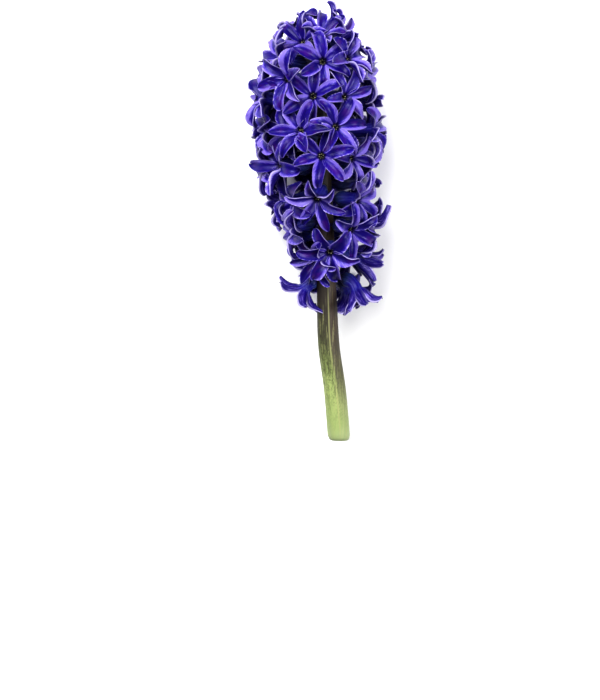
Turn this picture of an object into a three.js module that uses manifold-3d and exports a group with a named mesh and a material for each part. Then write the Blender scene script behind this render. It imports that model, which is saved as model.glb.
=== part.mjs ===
// One hyacinth flower, picked, lying on its side: a tapering stalk set all round with star florets, and
// the bare scape below them down to the cut. Millimetres, +Z up, the surface it lies on at Z = 0, the
// tip of the flower towards +Y. The origin is under the middle of the whole flower.
//
// flower_head  the rachis, the stalk inside the head, with every floret and its pedicel grown into it
// scape        the bare stalk below the head
import * as THREE from "three";
import { mergeVertices } from "three/addons/utils/BufferGeometryUtils.js";
import Module from "manifold-3d";

const wasm = await Module();
wasm.setup();

// Length along the stalk
const TIP_Y = 124;
const HEAD_BASE_Y = -59;
const LOWEST_ROOT_Y = -32;
const HIGHEST_ROOT_Y = 120;
const CUT_Y = -135;
const JOIN_GAP = 0.3;

// Line and radius of the stalk along its length, as [y, value] pairs
const STALK_X = [[-135, 14.6], [-100, 11.2], [-75, 7.6], [-45, 6.2], [0, 5.6], [60, 3.6], [128, 1.6]];
const STALK_Z = [[-135, 21], [-95, 25.2], [-45, 29.2], [0, 32], [60, 34.6], [128, 36]];
const STALK_RADIUS = [[-135, 7.2], [-60, 6.6], [-10, 5.2], [128, 1.8]];
const STALK_SIDES = 12;
const RACHIS_SIDES = 8;
const STALK_STEP = 14;

// The whole crowd of florets
const FLORETS = 58;
const DIVERGENCE = 137.5;
const FIRST_ANGLE = 44;
const LOWEST_THROAT_Y = -38;
const HIGHEST_THROAT_Y = 121;
const SPACING = 27;
const LAYER = 3;
const SETTLING_STEPS = 40;
const SETTLING_SHARE = 0.12;
const SPINS_TRIED = 6;
const CROWD_SOFTENING = 4;
const JITTER = { turn: 5, rise: 1.5, pitch: 9, spin: 30, size: 0.05 };

// Up along the head, as [y, value] pairs: how far the throats stand from the stalk, how far the crowd
// leans to one side of it, how the florets pitch and how large they are
const REACH = [
  [-38, 16.6], [-20, 15.9], [0, 21.5], [25, 25.6], [60, 30.2],
  [80, 30], [100, 25], [110, 18.1], [117, 13.7], [122, 4.1],
];
const LEAN = [[-38, 6.3], [-13, 6.5], [5, -1], [24, -0.4], [60, -3.4], [90, -4.3], [122, -2.9]];
const PITCH = [[-38, -50], [-15, -19], [20, -6], [60, 6], [88, 2], [105, 16], [115, 63], [122, 79]];
const SIZE = [[-38, 0.94], [10, 1], [95, 0.98], [112, 0.93], [122, 0.82]];

// One floret: a pedicel, a swollen tube and six tepals that curl back, the outer three a little longer
const ROOT_RADIUS = 1.3;
const ROOT_SINK = 0.4;
const ROOT_DROP = 0.6;
const TUBE_RADIUS = 3.7;
const TUBE_AT = 0.42;
const TUBE_BEND = 0.55;
const MOUTH_RADIUS = 4.4;
const THROAT_DEPTH = 3;
const TEPALS = 6;
const TEPAL_LENGTH = 17.5;
const OUTER_SHARE = 1.03;
const INNER_SHARE = 0.97;
const TEPAL_START_ANGLE = 48;
const TEPAL_END_ANGLE = 128;
const TEPAL_BENDS = 6;
const TEPAL_JITTER = { length: 0.08, angle: 8, start: 10, span: 22 };
const TEPAL_STATIONS = [
  { at: 0.38, width: 6.2, thickness: 1.5 },
  { at: 0.74, width: 5.6, thickness: 1.2 },
];
// Tepals of neighbours lean apart: in how many steps, at which places along them, how thick the gap
// between them is, how wide the hold of each place is, how far the pairs may lie apart at first, how
// nearly level they are when their layers say which lies above, and the most degrees
const PARTING = { steps: 24, places: [0.38, 0.74, 1], gap: 3, hold: 3.2, range: 14, level: 0.5, most: 30 };

// Florets that the photograph shows plainly: the angle round the stalk from straight up towards +X, the
// height, the pitch and the spin, and how far the tepals curl
const SEEN = [
  { angle: 10, y: 99, pitch: 8, spin: 36, curl: 1 },
  { angle: -4, y: 79, pitch: 2, spin: 27, curl: 1 },
  { angle: 0, y: 44, pitch: 4, spin: 17, curl: 1 },
  { angle: -12, y: 19, pitch: -36, spin: 46, curl: 0.65 },
  { angle: -42, y: -17, pitch: -30, spin: 54, curl: 0.75 },
  { angle: -32, y: 111, pitch: 22, spin: 24, curl: 0.75 },
  { angle: 72, y: 114, pitch: 33, spin: 30, curl: 0.6 },
  { angle: -32, y: 89, pitch: 1, spin: 13, curl: 0.95 },
  { angle: -38, y: 58, pitch: 2, spin: 48, curl: 1 },
  { angle: 20, y: 61, pitch: 9, spin: 2, curl: 0.95 },
  { angle: 44, y: 101, pitch: 18, spin: 20, curl: 1 },
  { angle: 82, y: 94, pitch: 8, spin: 21, curl: 0.97 },
  { angle: 38, y: 79, pitch: 3, spin: 10, curl: 1 },
  { angle: 46, y: 43, pitch: -4, spin: 48, curl: 1 },
  { angle: -88, y: 39, pitch: 2, spin: 34, curl: 1 },
  { angle: -62, y: 17, pitch: -16, spin: 31, curl: 1 },
  { angle: 54, y: 18, pitch: -5, spin: 24, curl: 1 },
  { angle: 38, y: 0, pitch: -19, spin: 39, curl: 0.9 },
  { angle: 90, y: -19, pitch: -21, spin: 39, curl: 0.35 },
  { angle: -88, y: -37, pitch: -50, spin: 48, curl: 0.8 },
  { angle: 60, y: -37, pitch: -66, spin: 18, curl: 0.45 },
  { angle: -62, y: 103, pitch: 18, spin: 10, curl: 0.9 },
  { angle: 76, y: 60, pitch: 2, spin: 15, curl: 1 },
  { angle: 16, y: 115, pitch: 52, spin: 20, curl: 0.7 },
];
// Places where it shows the bare stalk, or a dark hollow, between florets
const BARE = [
  { angle: -6, y: 0 },
  { angle: -25, y: 33 },
  { angle: 8, y: 71 },
  { angle: 0, y: -45 },
  { angle: 22, y: -36 },
  { angle: 24, y: -20 },
  { angle: -20, y: -38 },
];

const degrees = THREE.MathUtils.degToRad;
const lerp = THREE.MathUtils.lerp;

// Values from -1 to 1 that depend on the seed alone: each new one comes from the last by a
// multiplication that wraps.
function draws(seed, count) {
  const values = [];
  let state = 7919 * (seed + 1);
  for (let i = 0; i < count + 4; i++) {
    state = (state * 48271) % 2147483647;
    if (i >= 4) values.push((2 * state) / 2147483647 - 1);
  }
  return values;
}

// The value at t of a line through [place, value] pairs.
function along(pairs, t) {
  const inner = pairs.slice(1, -1).filter(([place]) => place < t).length;
  const [from, to] = pairs.slice(inner, inner + 2);
  return lerp(from[1], to[1], THREE.MathUtils.clamp((t - from[0]) / (to[0] - from[0]), 0, 1));
}

function stalkCentre(y) {
  return new THREE.Vector3(along(STALK_X, y), y, along(STALK_Z, y));
}

// Closed mesh from points and triangles whose corners run anticlockwise seen from outside.
function meshGeometry(points, triangles) {
  const geometry = new THREE.BufferGeometry();
  const corners = points.flatMap((point) => point.toArray());
  geometry.setAttribute("position", new THREE.Float32BufferAttribute(corners, 3));
  geometry.setIndex(triangles.flat());
  return geometry;
}

// A round bar that follows the stalk's line from low to high, closed by a flat face at each end.
function stalkGeometry(low, high, sides) {
  const steps = Math.ceil((high - low) / STALK_STEP);
  const points = [];
  const triangles = [];
  for (let step = 0; step <= steps; step++) {
    const y = lerp(low, high, step / steps);
    const centre = stalkCentre(y);
    for (let side = 0; side < sides; side++) {
      const angle = (2 * Math.PI * side) / sides;
      const out = new THREE.Vector3(Math.sin(angle), 0, Math.cos(angle));
      points.push(out.multiplyScalar(along(STALK_RADIUS, y)).add(centre));
    }
  }
  for (let side = 0; side < sides; side++) {
    const next = (side + 1) % sides;
    for (let row = 0; row < steps * sides; row += sides) {
      triangles.push([row + side, row + next, row + sides + side]);
      triangles.push([row + next, row + sides + next, row + sides + side]);
    }
    if (side > 0 && next > 0) {
      triangles.push([0, next, side]);
      triangles.push([steps * sides, steps * sides + side, steps * sides + next]);
    }
  }
  return meshGeometry(points, triangles);
}

// Heights that give each floret the same share of the head's surface, less for the small ones near the
// tip.
function throatHeights() {
  const slices = 160;
  const shares = [0];
  const heightOf = (slice) => lerp(LOWEST_THROAT_Y, HIGHEST_THROAT_Y, slice / slices);
  for (let slice = 0; slice < slices; slice++) {
    const y = heightOf(slice + 0.5);
    shares.push(shares[slice] + along(REACH, y) / along(SIZE, y) ** 2);
  }
  return Array.from({ length: FLORETS }, (_, i) => {
    const share = (shares[slices] * (i + 0.5)) / FLORETS;
    return heightOf(shares.findIndex((value) => value >= share) - 0.5);
  });
}

// Where each throat lies round the stalk (angle from straight up, towards +X) and along it, before
// settling: the golden angle from each floret to the next, with the florets of the photograph taking
// the nearest places.
function placeFlorets() {
  const places = throatHeights().map((height, i) => {
    const [turn, rise, pitch, spin, size] = draws(i, 5);
    return {
      seed: i,
      angle: degrees(FIRST_ANGLE + DIVERGENCE * i + JITTER.turn * turn),
      y: height + JITTER.rise * rise,
      pitch: along(PITCH, height) + JITTER.pitch * pitch,
      spin: JITTER.spin * spin,
      size: 1 + JITTER.size * size,
      curl: 1,
      fixed: false,
    };
  });
  for (const seen of SEEN) {
    const spot = { ...seen, angle: degrees(seen.angle), size: 1, fixed: true };
    const free = places.filter((place) => !place.fixed);
    const distances = free.map((place) => apart(place, spot).distance);
    Object.assign(free[distances.indexOf(Math.min(...distances))], spot);
  }
  return places;
}

// Distance between two places on the unrolled surface of the head, and its two components.
function apart(a, b) {
  const turn = a.angle - b.angle;
  const reach = (along(REACH, a.y) + along(REACH, b.y)) / 2;
  const round = Math.atan2(Math.sin(turn), Math.cos(turn)) * reach;
  const up = a.y - b.y;
  return { round, up, reach, distance: Math.hypot(round, up) };
}

// The florets that the photograph doesn't fix push each other apart, as growing florets do.
function settle(places) {
  const bare = BARE.map(({ angle, y }) => ({ angle: degrees(angle), y }));
  for (let step = 0; step < SETTLING_STEPS; step++) {
    const moves = places.map((place) => {
      const move = { round: 0, up: 0 };
      if (place.fixed) return move;
      for (const other of [...places, ...bare]) {
        const gap = apart(place, other);
        if (other === place || gap.distance > SPACING) continue;
        const push = (SETTLING_SHARE * (SPACING - gap.distance)) / gap.distance;
        move.round += (push * gap.round) / gap.reach;
        move.up += push * gap.up;
      }
      return move;
    });
    places.forEach((place, i) => {
      place.angle += moves[i].round;
      place.y = THREE.MathUtils.clamp(place.y + moves[i].up, LOWEST_THROAT_Y, HIGHEST_THROAT_Y);
    });
  }
  return places;
}

// A floret's centreline and the frame at its mouth. The tube leaves the stalk and turns to the way the
// floret faces. Neighbours stand a little further in or out, so that their tepals pass over each other.
function floretFrame(place, lifted) {
  const pitch = degrees(place.pitch);
  const out = new THREE.Vector3(Math.sin(place.angle), 0, Math.cos(place.angle));
  const facing = out.clone().multiplyScalar(Math.cos(pitch));
  facing.y = Math.sin(pitch);
  const reach = along(REACH, place.y) + LAYER * ((place.seed % 3) - 1);
  const throat = stalkCentre(place.y).addScaledVector(out, reach);
  throat.x += along(LEAN, place.y);
  throat.z += lifted;
  const drop = ROOT_DROP * reach * Math.tan(pitch / 2);
  const rootY = THREE.MathUtils.clamp(place.y - drop, LOWEST_ROOT_Y, HIGHEST_ROOT_Y);
  const root = stalkCentre(rootY).addScaledVector(out, ROOT_SINK * along(STALK_RADIUS, rootY));
  const bend = throat.clone().addScaledVector(facing, -TUBE_BEND * throat.distanceTo(root));
  const up = new THREE.Vector3(0, 1, 0).addScaledVector(facing, -facing.y).normalize();
  const right = new THREE.Vector3().crossVectors(up, facing);
  return { centreline: new THREE.QuadraticBezierCurve3(root, bend, throat), facing, up, right };
}

function ringPoint(centre, frame, angle, radius) {
  return centre
    .clone()
    .addScaledVector(frame.right, radius * Math.cos(angle))
    .addScaledVector(frame.up, radius * Math.sin(angle));
}

// How each tepal of a floret lies: its angle round the floret, its length, the lean of its midline at
// the base and how much further it leans at the tip. A jitter of 1 gives the tepals as they grow, and 0
// the even star that stands for them while the florets turn.
function tepalLaws(place, jitter) {
  const length = TEPAL_LENGTH * place.size * along(SIZE, place.y);
  const wobble = draws(place.seed + 100, 4 * TEPALS);
  return Array.from({ length: TEPALS }, (_, k) => {
    const [longer, aside, forward, further] = wobble.slice(4 * k, 4 * k + 4).map((value) => value * jitter);
    const share = 1 + jitter * ((k % 2 ? INNER_SHARE : OUTER_SHARE) - 1);
    return {
      angle: degrees(place.spin + (360 * k) / TEPALS + TEPAL_JITTER.angle * aside),
      length: length * share * (1 + TEPAL_JITTER.length * longer),
      start: place.curl * (TEPAL_START_ANGLE + TEPAL_JITTER.start * forward),
      span: place.curl * (TEPAL_END_ANGLE - TEPAL_START_ANGLE + TEPAL_JITTER.span * further),
    };
  });
}

// A place on the midline of a tepal: from the rim of the mouth it leans outwards and turns further back
// the further it goes.
function tepalPlace(frame, throat, law, at) {
  const out = ringPoint(new THREE.Vector3(), frame, law.angle, 1);
  const side = ringPoint(new THREE.Vector3(), frame, law.angle + Math.PI / 2, 1);
  const point = throat.clone().addScaledVector(out, MOUTH_RADIUS);
  const step = (at * law.length) / TEPAL_BENDS;
  let lean = 0;
  for (let i = 0; i < TEPAL_BENDS; i++) {
    lean = degrees(law.start + (law.span * at * (i + 0.5)) / TEPAL_BENDS);
    point.addScaledVector(frame.facing, step * Math.cos(lean));
    point.addScaledVector(out, step * Math.sin(lean));
  }
  const face = frame.facing.clone().multiplyScalar(Math.sin(lean)).addScaledVector(out, -Math.cos(lean));
  return { point, face, side };
}

// Points half way along and at the end of each tepal of a floret.
function tepalPoints(place, spin) {
  const frame = floretFrame(place, 0);
  const laws = tepalLaws({ ...place, spin }, 0);
  return laws.flatMap((law) => [0.5, 1].map((at) => tepalPlace(frame, frame.centreline.v2, law, at).point));
}

// The florets that the photograph doesn't fix turn on their tubes until their tepals lie in the gaps
// that their neighbours leave.
function turnIntoGaps(places) {
  const taken = places.map((place) => tepalPoints(place, place.spin));
  places.forEach((place, i) => {
    if (place.fixed) return;
    const near = taken.filter((_, j) => j !== i && apart(place, places[j]).distance < 2 * SPACING).flat();
    const tries = Array.from({ length: SPINS_TRIED }, (_, n) => place.spin + (60 * n) / SPINS_TRIED);
    const crowdAt = (point) =>
      near.reduce((sum, other) => sum + 1 / (CROWD_SOFTENING + point.distanceToSquared(other)), 0);
    const costs = tries.map((spin) =>
      tepalPoints(place, spin).reduce((sum, point) => sum + crowdAt(point), 0)
    );
    place.spin = tries[costs.indexOf(Math.min(...costs))];
    taken[i] = tepalPoints(place, place.spin);
  });
  return places;
}

// Tepals of neighbouring florets that would run through each other lean apart. Two places that lie
// nearly over each other are pushed apart along the face that they share, and each push turns its tepal
// about its base.
function partTepals(places) {
  const spots = [];
  for (const place of places) {
    place.laws = tepalLaws(place, 1);
    const frame = floretFrame(place, 0);
    for (const law of place.laws) {
      law.spots = PARTING.places.map((at) => ({ place, frame, law, at }));
      law.first = law.start;
      spots.push(...law.spots);
    }
  }
  const locate = () => {
    for (const spot of spots) {
      const throat = spot.frame.centreline.v2;
      Object.assign(spot, tepalPlace(spot.frame, throat, spot.law, spot.at));
    }
  };
  locate();
  for (const spot of spots) {
    const close = (other) =>
      other.place !== spot.place && other.point.distanceTo(spot.point) < PARTING.range;
    spot.near = spots.filter(close);
  }
  for (let step = 0; step < PARTING.steps; step++) {
    for (const spot of spots) spot.pushed = pushOn(spot);
    for (const law of places.flatMap((place) => place.laws)) {
      const turns = law.spots.map((spot) => spot.pushed / (spot.at * TEPAL_LENGTH));
      const turn = turns.reduce((sum, value) => sum + value, 0) / turns.length;
      const leaned = law.start - THREE.MathUtils.radToDeg(turn);
      law.start = THREE.MathUtils.clamp(leaned, law.first - PARTING.most, law.first + PARTING.most);
    }
    locate();
  }
  return places;
}

// How far its neighbours push a place on a tepal forwards, or back where it is less than zero.
function pushOn(spot) {
  let push = 0;
  let hold = 1;
  for (const other of spot.near) {
    const shared = spot.face.clone().add(other.face);
    const size = shared.length();
    if (size <= 1) continue;
    const way = spot.point.clone().sub(other.point);
    const height = way.dot(shared) / size;
    const weight = Math.exp((height ** 2 - way.lengthSq()) / (2 * PARTING.hold ** 2));
    const layers = (spot.place.seed % 3) - (other.place.seed % 3) || spot.place.seed - other.place.seed;
    const above = Math.sign(Math.abs(height) > PARTING.level ? height : layers);
    push += weight * above * Math.max(0, PARTING.gap - Math.abs(height));
    hold += weight;
  }
  return push / hold;
}

// One floret as a single closed mesh: a three-sided foot, a ring of six on the tube, the six gaps
// between tepals round the mouth, and for each tepal a blade of three-cornered sections, ridged behind,
// that ends in a point.
function floretGeometry(place, lifted) {
  const scale = place.size * along(SIZE, place.y);
  const frame = floretFrame(place, lifted);
  const [root, waist, throat] = [0, TUBE_AT, 1].map((t) => frame.centreline.getPoint(t));
  const spin = degrees(place.spin);
  const step = Math.PI / TEPALS;
  const points = [];
  const triangles = [];
  const add = (point) => points.push(point) - 1;

  const foot = [0, 2, 4].map((k) => add(ringPoint(root, frame, spin + 2 * k * step, ROOT_RADIUS)));
  const tube = [];
  const gaps = [];
  for (let k = 0; k < TEPALS; k++) {
    tube.push(add(ringPoint(waist, frame, spin + 2 * k * step, TUBE_RADIUS * scale)));
    gaps.push(add(ringPoint(throat, frame, spin + (2 * k - 1) * step, MOUTH_RADIUS * scale)));
  }
  const deep = add(throat.clone().addScaledVector(frame.facing, -THROAT_DEPTH * scale));

  for (let k = 0; k < TEPALS; k++) {
    const next = (k + 1) % TEPALS;
    const footHere = foot[Math.floor(k / 2)];
    const footNext = foot[Math.floor(next / 2)];
    triangles.push([footHere, tube[next], tube[k]]);
    if (footNext !== footHere) triangles.push([footHere, footNext, tube[next]]);
    triangles.push([tube[k], tube[next], gaps[next]], [deep, gaps[k], gaps[next]]);

    let last = { left: gaps[k], right: gaps[next], back: tube[k] };
    for (const { at, width, thickness } of TEPAL_STATIONS) {
      const { point, face, side } = tepalPlace(frame, throat, place.laws[k], at);
      const here = {
        left: add(point.clone().addScaledVector(side, (-width * scale) / 2)),
        right: add(point.clone().addScaledVector(side, (width * scale) / 2)),
        back: add(point.clone().addScaledVector(face, -thickness)),
      };
      triangles.push([last.left, here.left, here.right], [last.left, here.right, last.right]);
      triangles.push([last.left, here.back, here.left], [last.left, last.back, here.back]);
      triangles.push([last.right, here.right, here.back], [last.right, here.back, last.back]);
      last = here;
    }
    const tip = add(tepalPlace(frame, throat, place.laws[k], 1).point);
    triangles.push([last.left, tip, last.right], [last.right, tip, last.back], [last.back, tip, last.left]);
  }
  triangles.push([foot[0], foot[2], foot[1]]);
  return meshGeometry(points, triangles);
}

// The floret, with its mouth raised if it would reach under the surface that the flower lies on.
function floretOnSurface(place) {
  const free = floretGeometry(place, 0);
  free.computeBoundingBox();
  const under = Math.max(0, -free.boundingBox.min.z);
  return under > 0 ? floretGeometry(place, under) : free;
}

function solidOf(geometry) {
  const merged = mergeVertices(geometry, 1e-4);
  const vertProperties = new Float32Array(merged.attributes.position.array);
  const triVerts = new Uint32Array(merged.index.array);
  return new wasm.Manifold(new wasm.Mesh({ numProp: 3, vertProperties, triVerts }));
}

function geometryOf(solid) {
  const mesh = solid.getMesh();
  const geometry = new THREE.BufferGeometry();
  geometry.setAttribute("position", new THREE.BufferAttribute(mesh.vertProperties, mesh.numProp));
  geometry.setIndex(new THREE.BufferAttribute(mesh.triVerts, 1));
  geometry.computeVertexNormals();
  return geometry;
}

// The outer body alone: a hollow closed in where tepals cross is filled.
function largestOf(solid) {
  return solid.decompose().reduce((a, b) => (a.volume() > b.volume() ? a : b));
}

function headGeometry() {
  const rachis = solidOf(stalkGeometry(HEAD_BASE_Y, TIP_Y, RACHIS_SIDES));
  const places = partTepals(turnIntoGaps(settle(placeFlorets())));
  const florets = places.map((place) => solidOf(floretOnSurface(place)));
  const joined = florets.reduce((body, floret) => body.add(floret), rachis);
  return geometryOf(largestOf(joined));
}

const petals = new THREE.MeshStandardMaterial({ color: 0x3d2a9b, roughness: 0.5, metalness: 0 });
const stalk = new THREE.MeshStandardMaterial({ color: 0x8c9562, roughness: 0.55, metalness: 0 });

const head = new THREE.Mesh(headGeometry(), petals);
head.name = "flower_head";
const scape = new THREE.Mesh(stalkGeometry(CUT_Y, HEAD_BASE_Y - JOIN_GAP, STALK_SIDES), stalk);
scape.name = "scape";

// The origin goes under the middle of the box round both.
const hyacinth = new THREE.Group();
hyacinth.add(head, scape);
const box = new THREE.Box3().setFromObject(hyacinth);
const middle = box.getCenter(new THREE.Vector3());
for (const mesh of hyacinth.children) mesh.geometry.translate(-middle.x, -middle.y, -box.min.z);

export default hyacinth;
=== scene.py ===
"""Looks of a picked hyacinth flower that lies on its side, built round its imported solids.

Fifty-eight star florets stand all round a tapering stalk. Each floret is one closed surface worked out with
numpy: a pedicel and a swollen tube on the outside, six tepals that curl back, and the throat inside. The
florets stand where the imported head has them, because the rule that places them and its seeded draws are the
same. One smooth stalk runs from the cut to the tip.

Lengths are in millimetres until a mesh is made, which turns them into metres. +Y runs along the stalk
towards the tip and +Z is up. The surface that the flower lies on is at Z = 0.
"""

import logging
import math
from dataclasses import dataclass, field
from enum import Enum

import bpy
import numpy as np
from mathutils import Matrix, Vector


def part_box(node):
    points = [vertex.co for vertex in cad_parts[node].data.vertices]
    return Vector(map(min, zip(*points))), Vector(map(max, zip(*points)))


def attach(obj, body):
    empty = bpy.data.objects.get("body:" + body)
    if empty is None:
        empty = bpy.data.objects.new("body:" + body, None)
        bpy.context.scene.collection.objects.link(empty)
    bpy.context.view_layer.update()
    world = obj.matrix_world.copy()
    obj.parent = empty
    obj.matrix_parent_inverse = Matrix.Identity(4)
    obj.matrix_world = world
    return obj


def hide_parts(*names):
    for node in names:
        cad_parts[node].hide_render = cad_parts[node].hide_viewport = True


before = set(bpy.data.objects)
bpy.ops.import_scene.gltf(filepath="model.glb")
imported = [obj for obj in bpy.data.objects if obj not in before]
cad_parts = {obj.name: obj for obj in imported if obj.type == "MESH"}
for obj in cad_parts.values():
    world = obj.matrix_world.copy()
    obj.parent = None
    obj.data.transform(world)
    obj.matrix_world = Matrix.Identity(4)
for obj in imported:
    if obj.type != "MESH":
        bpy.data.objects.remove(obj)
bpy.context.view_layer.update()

log = logging.getLogger("hyacinth")

METRE = 0.001
TEPALS = 6
DRAW_START = 7919
DRAW_STEP = 48271
DRAW_WRAP = 2147483647
DRAWS_LEFT_OUT = 4
# Added to a floret's seed for each kind of draws
LAW_SEEDS = 100
SHAPE_SEEDS = 300
TONE_SEEDS = 500
Array = np.ndarray
Pairs = tuple[tuple[float, float], ...]


class Slot(Enum):
    """Material slots of the record."""

    PETALS = "petals"
    STALK = "stalk"


class Face(Enum):
    """Faces of the sheet that a floret is made of, as its place attribute numbers them."""

    OUTER = 0.0
    INNER = 1.0


# Numbers and arrays


def along(pairs: Pairs, t: Array) -> Array:
    """Straight lines through (place, value) pairs, level beyond the first and the last.

    Args:
        pairs: Places in rising order with their values.
        t: Places to read.

    Returns:
        The value at each place.
    """
    places, values = np.array(pairs, float).T
    return np.interp(t, places, values)


def smooth_along(pairs: Pairs, t: Array) -> Array:
    """Smooth line through (place, value) pairs: cubics between them, with the mean slope at each place.

    Args:
        pairs: Places in rising order with their values.
        t: Places to read.

    Returns:
        The value at each place, with the shape of t.
    """
    x, y = np.array(pairs, float).T
    slope = np.gradient(y, x)
    i = np.clip(np.searchsorted(x, t) - 1, 0, len(x) - 2)
    span = x[i + 1] - x[i]
    s = np.clip((t - x[i]) / span, 0, 1)
    ends = (1 + 2 * s) * (1 - s) ** 2 * y[i] + s**2 * (3 - 2 * s) * y[i + 1]
    return ends + span * (s * (1 - s) ** 2 * slope[i] + s**2 * (s - 1) * slope[i + 1])


def ease(t: Array) -> Array:
    """Rise from 0 at t = 0 to 1 at t = 1, level at both ends."""
    t = np.clip(t, 0, 1)
    return t * t * (3 - 2 * t)


def draws(seeds: Array, count: int) -> Array:
    """Values from -1 to 1 that depend on the seed alone.

    Each new value comes from the last by a multiplication that wraps, and the first few are left out.

    Args:
        seeds: Whole numbers, one for each row.
        count: Values in a row.

    Returns:
        An array of shape (seeds, count).
    """
    state = DRAW_START * (np.asarray(seeds, np.int64) + 1)
    states = []
    for _ in range(DRAWS_LEFT_OUT + count):
        state = state * DRAW_STEP % DRAW_WRAP
        states.append(state)
    return 2 * np.array(states[DRAWS_LEFT_OUT:]).T / DRAW_WRAP - 1


def unit(vectors: Array) -> Array:
    """Vectors of length 1 with the same directions."""
    return vectors / np.linalg.norm(vectors, axis=-1, keepdims=True)


def grid_faces(index: Array) -> Array:
    """Quads of a grid of vertices, whose fronts show where the rows run up and the columns to the right.

    Args:
        index: Vertex numbers of shape (..., rows, columns).

    Returns:
        An array of shape (quads, 4).
    """
    corners = (index[..., :-1, :-1], index[..., :-1, 1:], index[..., 1:, 1:], index[..., 1:, :-1])
    return np.stack(corners, axis=-1).reshape(-1, 4)


def wrapped(index: Array) -> Array:
    """The grid with its first column again after the last, so that it closes round."""
    return np.concatenate([index, index[..., :1]], axis=-1)


def mesh_object(name: str, points: Array, faces: list[Array]) -> bpy.types.Object:
    """A smooth-shaded object with its place in its mesh.

    Args:
        name: Name of the piece.
        points: Vertices of shape (vertices, 3), in millimetres.
        faces: Arrays of quads and of triangles.

    Returns:
        The new object, linked to the scene.
    """
    mesh = bpy.data.meshes.new(name)
    corners = [face for group in faces for face in group.tolist()]
    mesh.from_pydata((points * METRE).tolist(), [], corners)
    mesh.polygons.foreach_set("use_smooth", np.ones(len(corners), bool))
    piece = bpy.data.objects.new(name, mesh)
    bpy.context.scene.collection.objects.link(piece)
    return piece


def add_attribute(piece: bpy.types.Object, name: str, values: Array) -> None:
    """Stores a number or a vector at each vertex for the materials.

    Args:
        piece: A mesh object.
        name: Name that the materials read.
        values: One row for each vertex, with one or three columns.
    """
    kind, part = ("FLOAT_VECTOR", "vector") if values.ndim == 2 else ("FLOAT", "value")
    attribute = piece.data.attributes.new(name, kind, "POINT")
    attribute.data.foreach_set(part, values.astype(np.float32).ravel())


# Materials


def linear(code: str) -> tuple[float, float, float, float]:
    """Linear colour of a hexadecimal display colour, with full opacity."""
    shares = [int(code[i : i + 2], 16) / 255 for i in (0, 2, 4)]
    return (*(s / 12.92 if s <= 0.04045 else ((s + 0.055) / 1.055) ** 2.4 for s in shares), 1.0)


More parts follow.
